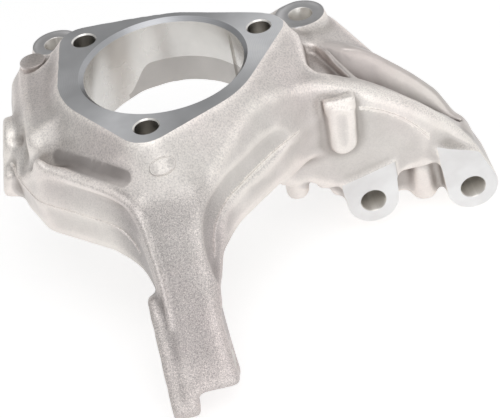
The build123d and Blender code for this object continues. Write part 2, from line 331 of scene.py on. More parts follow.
def ear_outline(index, extra=0.0):
    """Side outline of an ear's machined face, in X and Z."""
    centre = ear_centres[index]
    return hull(ring((centre[0], centre[2]), ear_r + extra) + [(a, b + extra) for a, b in ear_tops[index]])


def ear_stock(index):
    """Casting stock in front of an ear's face."""
    normal, offset = outward(ear_outline(index))

    def measure(x, y, z):
        side = farthest(a * x + b * z - c for (a, b), c in zip(normal, offset))
        return np.maximum(side, np.maximum(ear_face_y - stock - y, y - ear_face_y - stock))
    return measure


def leaning_cut(outline, depth, raised=0.0):
    """Pocket in the arched top of the strut arm: steep near walls and a far wall that leans back."""
    normal, offset = outward(hull(outline))

    def measure(x, y, z):
        above = np.hypot(x - arch_x, z - arch_z) - arch_r
        lean = 0.15 + 0.4 * ramp(normal[:, 1], 0.2, 0.8)
        side = farthest((a * x + b * y - c - d * (above - raised)) / math.hypot(1, d)
                        for (a, b), c, d in zip(normal, offset, lean))
        return np.maximum(side, -depth - above)
    return measure


def arched_plate(outline, rise, thickness):
    """Plate under the arm's arch, as high as a rise that may change along X."""
    normal, offset = outward(hull(outline))

    def measure(x, y, z):
        above = np.hypot(x - arch_x, z - arch_z) - arch_r
        side = farthest(a * x + b * y - c for (a, b), c in zip(normal, offset))
        return np.maximum(side, np.maximum(above - rise(x), -thickness - above))
    return measure


def hull_solid(points):
    """Distance function of the convex hull of some points."""
    bm = bmesh.new()
    for point in points:
        bm.verts.new(point)
    bmesh.ops.convex_hull(bm, input=bm.verts)
    bmesh.ops.recalc_face_normals(bm, faces=bm.faces)
    planes = [(*face.normal, face.normal.dot(face.verts[0].co)) for face in bm.faces]
    bm.free()

    return lambda x, y, z: farthest(a * x + b * y + c * z - d for a, b, c, d in planes)


def rod(a, b, radius_a, radius_b, floor=None):
    """Distance function of a round-ended rod that may taper, and may be cut flat along the skirt."""
    tilt = math.hypot(1, skirt_lean)
    down = (-web_normal[0] / tilt, -web_normal[1] / tilt, -skirt_lean / tilt)
    a = np.array(a, float)
    along = np.array(b, float) - a
    length = float(along @ along)

    def measure(x, y, z):
        t = ((x - a[0]) * along[0] + (y - a[1]) * along[1] + (z - a[2]) * along[2]) / length
        t = np.clip(t, 0, 1)
        dx, dy, dz = x - a[0] - t * along[0], y - a[1] - t * along[1], z - a[2] - t * along[2]
        gap = np.sqrt(dx ** 2 + dy ** 2 + dz ** 2) - radius_a - t * (radius_b - radius_a)
        if floor is None:
            return gap
        return np.maximum(gap, dx * down[0] + dy * down[1] + dz * down[2] - floor)
    return measure


def rounded_line(points, rounds):
    """Cuts the corners of a line of points."""
    points = np.array(points, float)
    for _ in range(rounds):
        a = points[:-1] * 0.75 + points[1:] * 0.25
        b = points[:-1] * 0.25 + points[1:] * 0.75
        points = np.concatenate([points[:1], np.stack([a, b], 1).reshape(-1, 3), points[-1:]])
    return points


def take(field, low, high, measure):
    """Takes a solid, given by its distance function, off a field."""
    cut, (x, y, z) = block(low, high)
    field[cut] = np.maximum(field[cut], -measure(x, y, z))


def around(a, b, reach):
    """Corners of a box round two points."""
    low = np.minimum(a, b) - reach
    high = np.maximum(a, b) + reach
    return tuple(low), tuple(high)


def lumps(cell, seed):
    """Smooth random field between -1 and 1 with features of about a cell's size."""
    rng = np.random.default_rng(seed)
    counts = [int(n * voxel / cell) + 3 for n in shape]
    field = rng.uniform(-1, 1, counts).astype(np.float32)
    for k in range(3):
        place = np.arange(shape[k]) * voxel / cell
        low = place.astype(int)
        t = place - low
        t = (t * t * (3 - 2 * t)).reshape([-1 if k == n else 1 for n in range(3)]).astype(np.float32)
        field = np.take(field, low, k) * (1 - t) + np.take(field, low + 1, k) * t
    return field


def add_stock(raw):
    """Plugs every hole and adds stock to every face that is machined later."""
    unite(raw, (-95, -95, -8), (95, 95, 10), hub_stock)
    unite(raw, (-60, -60, -50), (60, 60, 4), upright_cylinder((0, 0), bore_r + bore_plug, -bore_depth + 2, 3))
    for angle in bolt_angles:
        x, y = polar(bolt_circle_r, angle)
        unite(raw, (x - 12, y - 12, -50), (x + 12, y + 12, 4),
              upright_cylinder((x, y), bolt_r + hole_plug, -bore_depth + 3, 3))
    for x, y, _ in caliper_centres:
        unite(raw, (x - 20, y - 20, -52), (x + 20, y + 20, -12),
              upright_cylinder((x, y), bolt_r + hole_plug, caliper_face_z - 29, caliper_face_z + stock))
        unite(raw, (x - 20, y - 20, -28), (x + 20, y + 20, -12),
              upright_cylinder((x, y), caliper_boss_r, caliper_face_z - 3, caliper_face_z + stock))
    for index, (x, y, z) in enumerate(ear_centres):
        unite(raw, (x - 30, ear_face_y - 6, z - 24), (x + 30, ear_face_y + 6, z + 45), ear_stock(index))
        cut, (gx, gy, gz) = block((x - 12, ear_face_y - 6, z - 12), (x + 12, 12, z + 12))
        plug = np.maximum(np.sqrt((gx - x) ** 2 + (gz - z) ** 2) - ear_hole_r - ear_plug,
                          np.maximum(ear_face_y - stock - gy, gy - 8))
        raw[cut] = np.minimum(raw[cut], plug)


def add_fills(raw):
    """Fuller forms of the casting: arm root, left shoulder, foot of the right wall, top of the strut arm."""
    unite(raw, (-60, -125, -60), (30, -60, 6), hull_solid(arm_root_points))
    unite(raw, (-100, -50, -40), (-40, 65, 6), hull_solid(shoulder_points))
    for outline in wall_foot:
        corners = [(a, b, c) for a, c in outline for b in (ear_face_y - 1, ear_face_y + 5)]
        unite(raw, (48, -34, -104), (98, -22, -60), hull_solid(corners))
    for outline, depth, far_x in ((channel_outline, channel_depth, 186), (pocket_outline, pocket_depth, 116)):
        unite(raw, (84, -24, -110), (far_x, 30, -6), arched_plate(outline, lambda x: 0.0, depth + stock))
    unite(raw, (98, -4, -120), (198, 30, -6), arched_plate(rim_outline, rim_height, 14))
    unite(raw, (88, -2, -60), (140, 78, -10), arched_plate(link_outline, lambda x: 1.0, 12))


def large_fillets(x, y, z):
    """Share of the large fillet at each place: not on the strut arm, the ball joint end or the near wall."""
    wide = (1 - ramp(x, 74, 92)) * ramp(x, -98, -90) * (1 - ramp(y, 60, 72)) * ramp(z, -66, -50)
    wide = wide * (1 - ramp(x, -4, 3) * (1 - ramp(y, -96, -84)) * (1 - ramp(z, -30, -20)))
    beyond = web_normal[0] * x + web_normal[1] * y
    near_web = ramp(beyond, 68, 80) * (1 - ramp(x, -34, -22)) * (1 - ramp(y, -40, -28))
    return (wide * (1 - near_web)).astype(np.float32)


def large_rounds(x, y, z):
    """Share of the large round at each place: left shoulder, start of the strut arm, steering arm's root."""
    soft = (1 - ramp(x, -66, -54)) * ramp(z, -56, -44) * ramp(x, -100, -96) * (1 - ramp(y, 66, 74))
    soft = soft * ramp(y, -34, -22)
    soft = soft + ramp(x, 60, 70) * (1 - ramp(x, 84, 92)) * ramp(z, -40, -30) * (1 - ramp(y, 30, 40))
    soft = soft + arm_top(x, y, z)
    return soft.astype(np.float32)


def cast_field():
    """Distance field of the raw casting: soft blends, no holes, with stock on the faces to be machined."""
    raw = distances(corner, 8 * voxel, triangles=triangle)
    add_stock(raw)
    add_fills(raw)
    x, y, z = (axis_mm[k].reshape([-1 if k == n else 1 for n in range(3)]) for k in range(3))
    filled = mixed(closed(raw, fillet_small), closed(raw, fillet_large), large_fillets(x, y, z))
    rounded = mixed(opened(filled, round_small), opened(filled, round_large), large_rounds(x, y, z))
    rounded = softened(rounded, skin_blur)
    cut, (x, y, z) = block((-60, -150, -100), (40, -50, 10))
    share = (1 - ramp(y, -88, -76)) * ramp(x, -32, -22) * (1 - ramp(x, 8, 16)) * ramp(z, -84, -68)
    rounded[cut] = mixed(rounded[cut], softened(rounded[cut], root_blur), share.astype(np.float32))
    sharpen(rounded)
    rounded = softened(rounded, last_blur)
    for cell, seed, height in waves:
        rounded = rounded + height * lumps(cell, seed)
    return rounded


def arm_top(x, y, z):
    """1 where the steering arm grows out of the skirt, 0 elsewhere."""
    return (1 - ramp(y, -94, -86)) * ramp(z, -46, -34) * ramp(x, -40, -34) * (1 - ramp(x, 14, 20))


def rim_height(x):
    """How far the strut arm's far rim stands above its arch."""
    return rim_rise * ramp(x, 108, 126) * (1 - ramp(x, 168, 180))


def sharpen(field):
    """Forms that the softening would lose: coves of the strut arm, ridge and trough, recess, hose block."""
    take(field, (84, -24, -120), (190, 30, -6), leaning_cut(channel_outline, channel_depth, rim_rise))
    take(field, (80, -24, -60), (116, 30, -6), leaning_cut(pocket_outline, pocket_depth))
    for k, (a, b) in enumerate(zip(trough_line, trough_line[1:])):
        take(field, *around(a, b, 12), rod(a, b, 4.0 + 2.6 * k, 6.6 - 1.2 * k, floor=trough_floor))
    line = rounded_line(ridge_line, 2)
    radius = np.interp(np.arange(len(line)), [0, 4, len(line) * 0.5, len(line) - 1],
                       [ridge_start_r, ridge_wall_r, ridge_mid_r, ridge_end_r])
    for a, b, ra, rb in zip(line, line[1:], radius, radius[1:]):
        unite(field, *around(a, b, 5), rod(a, b, ra, rb))
    line = rounded_line(groove_line, 2)
    for a, b in zip(line, line[1:]):
        take(field, *around(a, b, groove_r + 3), rod(a, b, groove_r, groove_r))
    x, y, z = cap_centre
    take(field, (x - 16, y - 16, z - 6), (x + 16, y + 16, z + 8),
         upright_cylinder((x, y), cap_r + cap_clear, z - 3.2, z + 9))
    above = np.add(recess_centre, (0, 0, 3))
    take(field, *around(recess_centre, recess_centre, 9), rod(recess_centre, above, recess_r, recess_r))
    low, high = hose_block
    unite(field, np.subtract(low, 3), np.add(high, 3), box_solid(low, high))


def box_solid(low, high):
    """Distance function of an upright box."""
    def measure(x, y, z):
        side = np.maximum(np.maximum(low[0] - x, x - high[0]), np.maximum(low[1] - y, y - high[1]))
        return np.maximum(side, np.maximum(low[2] - z, z - high[2]))
    return measure


def shape_of(field, points):
    """How far each point stands out of a blurred casting: above 0 on edges, below 0 in hollows."""
    step = 2
    coarse = field[::step, ::step, ::step]
    blurred = softened(coarse, shade_blur) - coarse
    place = (points / voxel - first) / step
    base = np.clip(np.floor(place).astype(int), 0, np.array(coarse.shape) - 2)
    t = np.clip(place - base, 0, 1)
    total = np.zeros(len(points))
    for number in range(8):
        bits = np.array([number & 1, number >> 1 & 1, number >> 2 & 1])
        weight = np.prod(np.where(bits, t, 1 - t), axis=1)
        i, j, k = (base + bits).T
        total += weight * blurred[i, j, k]
    return total


def mesh_object(name, points, faces):
    """New object from points in millimetres."""
    mesh = bpy.data.meshes.new(name)
    mesh.from_pydata((np.asarray(points) * MM).tolist(), [], [list(map(int, f)) for f in faces])
    mesh.validate()
    mesh.update()
    obj = bpy.data.objects.new(name, mesh)
    bpy.context.scene.collection.objects.link(obj)
    return obj


def applied(obj):
    """Replaces an object's mesh by the one its modifiers give."""
    graph = bpy.context.evaluated_depsgraph_get()
    mesh = bpy.data.meshes.new_from_object(obj.evaluated_get(graph))
    obj.modifiers.clear()
    old = obj.data
    obj.data = mesh
    bpy.data.meshes.remove(old)


def turned(profile, place=Matrix.Identity(4), count=96):
    """Solid turned about Z from radius and height pairs, first and last on the axis."""
    points = []
    for i in range(count):
        angle = 2 * math.pi * i / count
        points += [place @ Vector((r * math.cos(angle), r * math.sin(angle), h)) for r, h in profile]
    n = len(profile)
    faces = []
    for i in range(count):
        a = i * n
        b = ((i + 1) % count) * n
        faces += [(a + k, b + k, b + (k + 1) % n, a + (k + 1) % n) for k in range(n)]
    return points, faces


def bore_cutter():
    """Bearing bore with its chamfer, the low relief on the far side and the shallow run-out at the right."""
    steps = [relief_start, relief_end, runout_start, runout_end]
    angles = sorted(set(np.arange(0, 360, 1.875)) | {a + d for a in steps for d in (-0.12, 0.12)})
    points = []
    for degrees in angles:
        top = -relief_drop - relief_slant * float(ramp(degrees, relief_end - 22, relief_end))
        low = relief_cut if relief_start < degrees < relief_end else 0.0
        high = runout_cut if runout_start < degrees < runout_end else 0.0
        wide_r = bore_r + max(low, high)
        rows = [(0, -120), (wide_r, -120), (wide_r, top - 0.6), (bore_r + high, top), (bore_r + high, -14),
                (bore_r + high, -6.0), (bore_r, -5.4), (bore_r, -bore_chamfer),
                (bore_r + bore_chamfer + 0.2, 0.2), (0, 0.2)]
        angle = math.radians(degrees)
        points += [(r * math.cos(angle), r * math.sin(angle), h) for r, h in rows]
    n = len(rows)
    faces = []
    for i in range(len(angles)):
        a = i * n
        b = (i + 1) % len(angles) * n
        faces += [(a + k, b + k, b + k + 1, a + k + 1) for k in range(n - 1)]
    return points, faces


def cut_off(obj, points, faces, operation="DIFFERENCE"):
    """Takes a solid off an object, or adds one to it."""
    tool = mesh_object("cutter", [tuple(p) for p in points], faces)
    bm = bmesh.new()
    bm.from_mesh(tool.data)
    bmesh.ops.remove_doubles(bm, verts=bm.verts, dist=1e-7)
    bmesh.ops.dissolve_degenerate(bm, edges=bm.edges, dist=1e-8)
    bmesh.ops.recalc_face_normals(bm, faces=bm.faces)
    bm.to_mesh(tool.data)
    bm.free()
    boolean = obj.modifiers.new("cut", "BOOLEAN")
    boolean.operation = operation
    boolean.solver = "MANIFOLD"
    boolean.object = tool
    applied(obj)
    mesh = tool.data
    bpy.data.objects.remove(tool)
    bpy.data.meshes.remove(mesh)


def prism(outline, low, high, upright=True):
    """Extruded outline: along Z, or along Y with its second coordinate as Z."""
    n = len(outline)
    if upright:
        points = [(a, b, low) for a, b in outline] + [(a, b, high) for a, b in outline]
    else:
        points = [(a, low, b) for a, b in outline] + [(a, high, b) for a, b in outline]
    faces = [(i, (i + 1) % n, n + (i + 1) % n, n + i) for i in range(n)]
    return points, faces + [tuple(range(n))[::-1], tuple(range(n, 2 * n))]


def machine(obj):
    """Cuts every machined face and hole."""
    cut_off(obj, *prism([(-150, -200), (220, -200), (220, 130), (-150, 130)], 0, 30))
    for x, y, _ in caliper_centres:
        place = Matrix.Translation((x, y, 0))
        face, step = caliper_face_z, caliper_face_z - face_step
        cut_off(obj, *turned([(0, step), (caliper_boss_r - 2.2, step), (caliper_boss_r - 1.7, face),
                              (caliper_boss_r + 1.2, face), (caliper_boss_r + 1.2, 12), (0, 12)], place))
        cut_off(obj, *turned([(0, -80), (caliper_r, -80), (caliper_r, face - 0.8),
                              (caliper_r + 1.2, face + 0.4), (0, face + 0.4)], place, hole_sides))
    for index in range(2):
        cut_off(obj, *prism(ear_outline(index, 1.0), ear_face_y - 20, ear_face_y, upright=False))
    turn = Matrix.Rotation(math.radians(90), 4, "X")
    for x, y, z in ear_centres:
        cut_off(obj, *turned([(0, -20), (ear_hole_r, -20), (ear_hole_r, -ear_face_y - 0.6),
                              (ear_hole_r + 1.0, -ear_face_y + 0.4), (0, -ear_face_y + 0.4)],
                             Matrix.Translation((x, 0, z)) @ turn, hole_sides))
    cut_off(obj, *bore_cutter())
    for angle in bolt_angles:
        x, y = polar(bolt_circle_r, angle)
        cut_off(obj, *turned([(0, -80), (bolt_r, -80), (bolt_r, -bolt_chamfer),
                              (bolt_r + bolt_chamfer + 0.2, 0.2), (0, 0.2)],
                             Matrix.Translation((x, y, 0)), hole_sides))
    for name in end_bores:
        mount = mounts[name]
        place = Vector(mount_mm(name))
        way = Vector(mount["axis"]).to_track_quat("Z", "Y").to_matrix().to_4x4()
        depth = mount["dims"]["length_mm"]
        low = -depth + 0.1 if name == "ball_joint_bore" else -depth - 12
        r = mount["dims"]["r_mm"]
        cut_off(obj, *turned([(0, low), (r, low), (r, -0.3), (r + 1.0, 0.7), (r + 1.0, 8), (0, 8)],
                             Matrix.Translation(place) @ way, 48))


def add_pads(obj):
    """Two blank cast pads: a thick cap on the left shoulder and a low ringed disc that lies on the skirt."""
    cx, cy, cz = cap_centre
    profile = [(0, -12), (cap_r, -12), (cap_r, -0.8), (cap_r - 0.25, -0.25), (cap_r - 0.8, 0), (0, 0)]
    cut_off(obj, *turned(profile, Matrix.Translation((cx, cy, cz)), hole_sides), operation="UNION")
    tree = BVHTree.FromObject(obj, bpy.context.evaluated_depsgraph_get())
    up = Vector((0.0, -skirt_lean, 1.0)).normalized()
    start = (Vector(disc_centre) + 20 * up) * MM
    place, normal, _, _ = tree.ray_cast(start, -up)
    across = Vector((1.0, 0.25, 0.0)).cross(normal).cross(normal).normalized()
    turn = Matrix((across, normal.cross(across), normal)).transposed().to_4x4()
    oval = Matrix.Diagonal((1.0, disc_share, 1.0, 1.0))
    profile = [(0, -5), (disc_r, -5), (disc_r, 0.4), (disc_r - 0.4, 0.9), (disc_r - 1.0, 0.9),
               (disc_r - 1.4, 0.5), (0, 0.5)]
    at = Matrix.Translation(place / MM) @ turn @ oval
    cut_off(obj, *turned(profile, at, hole_sides), operation="UNION")


def seam_lines():
    """Parting line of the casting: along the left wall, and along the right wall and over its arch."""
    arch = [(x, ear_face_y - 1, seam_arch_z + math.sqrt(seam_arch_r ** 2 - (x - seam_arch_x) ** 2))
            for x in range(112, 156, 6)]
    return [rounded_line(seam_left, 2), rounded_line(seam_right, 2), rounded_line(arch, 2)]


def add_seam(obj, line):
    """Thin ragged bead of flash along a line laid on the casting; gives the points it follows."""
    tree = BVHTree.FromObject(obj, bpy.context.evaluated_depsgraph_get())
    rng = np.random.default_rng(11)
    length = np.concatenate([[0], np.cumsum(np.linalg.norm(np.diff(line, axis=0), axis=1))])
    steps = np.arange(0, length[-1], seam_step)
    line = np.stack([np.interp(steps, length, line[:, k]) for k in range(3)], 1)
    found = [tree.find_nearest(Vector(p) * MM) for p in line]
    centre = np.array([list(place / MM) for place, _, _, _ in found])
    for _ in range(3):
        centre[1:-1] = 0.5 * centre[1:-1] + 0.25 * (centre[:-2] + centre[2:])
    sides = 6
    count = len(centre)
    points = []
    for k, (p, hit) in enumerate(zip(centre, found)):
        ahead = Vector(centre[min(k + 1, count - 1)] - centre[max(k - 1, 0)]).normalized()
        up = (hit[1] - ahead * hit[1].dot(ahead)).normalized()
        aside = ahead.cross(up)
        size = seam_r * rng.uniform(0.75, 1.2) * min(1.0, 0.4 + 0.15 * min(k, count - 1 - k))
        for i in range(sides):
            angle = 2 * math.pi * i / sides
            points.append(Vector(p) + size * (math.cos(angle) * aside + math.sin(angle) * up))
    faces = []
    for k in range(count - 1):
        a, b = k * sides, (k + 1) * sides
        faces += [(a + i, a + (i + 1) % sides, b + (i + 1) % sides, b + i) for i in range(sides)]
    faces += [tuple(range(sides))[::-1], tuple((count - 1) * sides + i for i in range(sides))]
    cut_off(obj, points, faces, operation="UNION")
    return centre


def near_line(points, line, reach):
    """Whether each point lies within a distance of a line's points."""
    tree = KDTree(len(line))
    for k, p in enumerate(line):
        tree.insert(p, k)
    tree.balance()
    near = np.zeros(len(points), bool)
    low, high = line.min(0) - reach, line.max(0) + reach
    for k in np.flatnonzero(np.all((points > low) & (points < high), axis=1)):
        near[k] = tree.find(points[k])[2] < reach
    return near


def grain_and_shade_of(points):
    """How rough the cast skin is at each point, and where the material paints shade: smooth and given painted
    shade in cores and coves, rough and given painted shade on the near arm.
    """
    x, y, z = points.T
    grain = np.ones(len(points))
    cove = ramp(x, 96, 102) * ramp(y, -22, -17) * (1 - ramp(y, 22, 30)) * ramp(z, -120, -100)
    grain = grain * (1 - 0.85 * cove)
    trough = np.full(len(points), 99.0)
    for a, b in zip(trough_line, trough_line[1:]):
        trough = np.minimum(trough, rod(np.add(a, (0, 0, -3)), np.add(b, (0, 0, -3)), 4.5, 4.5)(x, y, z))
    grain = grain * (0.15 + 0.85 * ramp(trough, 0, 1.5))
    # Adds 1 on the near steering arm, where the material paints shade over a fine speckle.
    return grain + 1.0 * (1 - ramp(y, -108, -78)) * (1 - ramp(z, -36, -2))


def clean(obj):
    """Merges points that lie together, drops doubled faces and keeps the largest connected piece."""
    bm = bmesh.new()
    bm.from_mesh(obj.data)
    bmesh.ops.remove_doubles(bm, verts=bm.verts, dist=weld_mm * MM)
    bmesh.ops.dissolve_degenerate(bm, edges=bm.edges, dist=weld_mm * MM)
    alike = {}
    for face in bm.faces:
        alike.setdefault(frozenset(face.verts), []).append(face)
    doubled = [face for group in alike.values() if len(group) > 1 for face in group]
    bmesh.ops.delete(bm, geom=doubled, context="FACES_ONLY")
    seen = set()
    islands = []
    for vert in bm.verts:
        if vert in seen:
            continue
        seen.add(vert)
        island = [vert]
        for item in island:
            for edge in item.link_edges:
                other = edge.other_vert(item)
                if other not in seen:
                    seen.add(other)
                    island.append(other)
        islands.append(island)
    islands.sort(key=len)
    loose = [vert for island in islands[:-1] for vert in island]
    bmesh.ops.delete(bm, geom=loose, context="VERTS")
    bm.to_mesh(obj.data)
    bm.free()


def build_casting():
    """Whole dressed casting as one object."""
    field = cast_field()
    points, quads = surface(field)
    obj = mesh_object("casting", points, quads)
    thin = obj.modifiers.new("thin", "DECIMATE")
    thin.ratio = min(1.0, triangle_budget / (2 * len(quads)))
    applied(obj)
    add_pads(obj)
    seams = [add_seam(obj, line) for line in seam_lines()]
    machine(obj)
    clean(obj)
    mesh = obj.data
    place = read(mesh.vertices, "co", 3) / MM
    stands = shape_of(field, place)
    # Parting-line beads get a high shape value, so the material paints a highlight along them.
    for line in seams:
        stands[near_line(place, line, seam_r * 1.35)] = seam_stands
    for name, value in (("shape", stands), ("grain", grain_and_shade_of(place))):
        mesh.attributes.new(name, "FLOAT", "POINT").data.foreach_set("value", value.astype(np.float32))
    return obj


# Materials.
WHITE = (1.0, 1.0, 1.0)


def new_material(name):
    """Node material with its main shader, ready for links."""
    material = bpy.data.materials.new(name)
    material.use_nodes = True
    tree = material.node_tree
    shader = tree.nodes["Principled BSDF"]
    return material, tree, shader


def add(tree, kind, **values):
    """Adds a node and sets its named inputs and properties."""
    item = tree.nodes.new(kind)
    for key, value in values.items():
        if key in item.inputs:
            item.inputs[key].default_value = value
        else:
            setattr(item, key, value)
    return item


def noise(tree, coords, scale, detail=3.0, rough=0.55):
    """Noise texture on the object's own coordinates."""
    item = add(tree, "ShaderNodeTexNoise", Scale=scale, Detail=detail, Roughness=rough)
    tree.links.new(coords, item.inputs["Vector"])
    return item.outputs["Fac"]


def toned(tree, factor, stops):
    """Colour ramp."""
    item = add(tree, "ShaderNodeValToRGB")
    marks = item.color_ramp.elements
    for mark, (place, colour) in zip(marks, (stops[0], stops[-1])):
        mark.position, mark.color = place, (*colour, 1)
    for place, colour in stops[1:-1]:
        marks.new(place).color = (*colour, 1)
    tree.links.new(factor, item.inputs["Fac"])
    return item.outputs["Color"]


def mapped(tree, value, start=(0.0, 1.0), end=(0.0, 1.0), kind="LINEAR"):
    """Maps one range of a node value to another."""
    item = add(tree, "ShaderNodeMapRange", interpolation_type=kind)
    for name, limit in zip(("From Min", "From Max", "To Min", "To Max"), (*start, *end)):
        item.inputs[name].default_value = limit
    tree.links.new(value, item.inputs["Value"])
    return item.outputs["Result"]


def step_between(tree, value, low, high, end=(0.0, 1.0)):
    """Smooth step of a node value, from 0 to 1 or over another range."""
    return mapped(tree, value, (low, high), end, "SMOOTHSTEP")


def tinted(tree, a, b, factor=1.0):
    """Multiplies one colour by another, all or a part of the way."""
    item = add(tree, "ShaderNodeMix", data_type="RGBA", blend_type="MULTIPLY")
    if isinstance(factor, float):
        item.inputs["Factor"].default_value = factor
    else:
        tree.links.new(factor, item.inputs["Factor"])
    tree.links.new(a, item.inputs["A"])
    tree.links.new(b, item.inputs["B"])
    return item.outputs["Result"]


def combined(tree, operation, a, b, clamp=False):
    """Maths on two node values, or on a node value and a number."""
    item = add(tree, "ShaderNodeMath", operation=operation, use_clamp=clamp)
    for place, value in enumerate((a, b)):
        if isinstance(value, (int, float)):
            item.inputs[place].default_value = value
        else:
            tree.links.new(value, item.inputs[place])
    return item.outputs[0]


def bumped(tree, shader, layers):
    """Chains bump layers of height, strength and depth into a shader."""
    normal = None
    for height, strength, depth in layers:
        item = add(tree, "ShaderNodeBump", Strength=strength, Distance=depth)
        tree.links.new(height, item.inputs["Height"])
        if normal is not None:
            tree.links.new(normal, item.inputs["Normal"])
        normal = item.outputs["Normal"]
    tree.links.new(normal, shader.inputs["Normal"])


def cast_material():
    """Blasted cast aluminium: grain where the surface looks up, smoother walls, edges brightened partly as wear
    and partly as painted highlight, and painted shade in hollows, in the coves and trough, and on the near
    steering arm.
    """
    material, tree, shader = new_material("cast_aluminium_skin")
    coords = add(tree, "ShaderNodeTexCoord").outputs["Object"]
    fine = noise(tree, coords, 1900.0, 2.0)
    grain = noise(tree, coords, 950.0, 3.0, 0.65)
    patch = noise(tree, coords, 60.0, 4.0)
    broad = noise(tree, coords, 16.0, 2.0)
    shape_value = add(tree, "ShaderNodeAttribute", attribute_name="shape").outputs["Fac"]
    facing = add(tree, "ShaderNodeSeparateXYZ")
    tree.links.new(add(tree, "ShaderNodeNewGeometry").outputs["Normal"], facing.inputs[0])
    upward = step_between(tree, facing.outputs["Z"], 0.15, 0.5, (0.25, 1.0))
    roughness_and_shade_mask = add(tree, "ShaderNodeAttribute", attribute_name="grain").outputs["Fac"]
    amount = combined(tree, "MULTIPLY", upward, roughness_and_shade_mask, clamp=True)

    base = toned(tree, patch, [(0.3, (0.66, 0.63, 0.61)), (0.7, (0.74, 0.71, 0.69))])
    tint = toned(tree, broad, [(0.38, (1.0, 0.995, 0.98)), (0.62, (1.0, 0.965, 0.96))])
    colour = tinted(tree, base, tint)
    speck = toned(tree, grain, [(0.34, (0.80, 0.80, 0.81)), (0.5, WHITE), (0.7, (1.16, 1.16, 1.15))])
    colour = tinted(tree, colour, speck, amount)
    # Painted shade with a fine speckle, laid on the near steering arm where the grain value runs above 1.
    painted_arm_shade = toned(tree, fine, [(0.36, (0.54, 0.53, 0.54)), (0.5, (0.68, 0.67, 0.68)),
                              (0.66, (0.84, 0.83, 0.84))])
    colour = tinted(tree, colour, painted_arm_shade, step_between(tree, roughness_and_shade_mask, 1.0, 2.0))
    # Painted shade: darkens the coves and the trough floor, where the grain value is low.
    painted_recess_shade = toned(tree, roughness_and_shade_mask, [(0.2, (0.66, 0.65, 0.65)), (0.95, WHITE)])
    colour = tinted(tree, colour, painted_recess_shade)
    # Painted shade darkens the hollows; edges are brightened partly as wear and partly as painted highlight.
    wear_and_painted_shade = toned(tree, mapped(tree, shape_value, (-0.55, 0.55)), [
        (0.0, (0.70, 0.69, 0.68)), (0.42, (0.97, 0.97, 0.97)), (0.55, WHITE), (0.85, (1.3, 1.3, 1.29))])
    colour = tinted(tree, colour, wear_and_painted_shade)
    tree.links.new(colour, shader.inputs["Base Color"])
    added = combined(tree, "MULTIPLY", combined(tree, "MINIMUM", roughness_and_shade_mask, 1.0), 0.16)
    rough = combined(tree, "ADD", mapped(tree, patch, end=(0.22, 0.36)), added)
    tree.links.new(rough, shader.inputs["Roughness"])
    shader.inputs["Metallic"].default_value = 0.75
    pits = combined(tree, "MULTIPLY", grain, amount)
    bumped(tree, shader, [(fine, 0.22, 0.0002), (pits, 0.5, 0.0004), (patch, 0.12, 0.002)])
    return material


# Painted sheen of the turned hub face: brightness factors painted into its colour round its axis, where places
# are shares of a full turn, counted from -X.
painted_sheen_sectors = [(0.0, 0.85), (0.04, 0.74), (0.09, 0.9), (0.15, 1.25), (0.21, 1.2), (0.26, 0.78),
                   (0.33, 0.78), (0.41, 1.0), (0.46, 1.45), (0.55, 1.4), (0.62, 0.9), (0.70, 0.72),
                   (0.86, 0.72), (0.95, 0.78), (1.0, 0.85)]

# Machined finishes: material name, colour, roughness, scale and run of the tool marks, metallic, brushing
# (anisotropy; above 0 it also paints the sheen sectors into the colour).
finishes = {
    "hub_face": ("machined_hub_face", (0.69, 0.695, 0.71), 0.32, 300.0, "rings", 1.0, 0.7),
    "bore": ("turned_bore", (0.72, 0.705, 0.68), 0.26, 420.0, "bore", 1.0, 0.0),
    "boss_face": ("spot_faced_boss", (0.54, 0.535, 0.54), 0.30, 500.0, "rings", 1.0, 0.0),
    "ear_face": ("milled_ear", (0.96, 0.945, 0.94), 0.44, 500.0, "lines", 0.5, 0.0),
    "drilled": ("drilled_hole", (0.70, 0.68, 0.65), 0.30, 600.0, "bore", 1.0, 0.0),
    "relief": ("bore_relief", (0.56, 0.54, 0.52), 0.44, 500.0, "bore", 1.0, 0.0),
    "chamfer": ("bore_chamfer", (0.40, 0.405, 0.42), 0.30, 400.0, "rings", 1.0, 0.0),
}


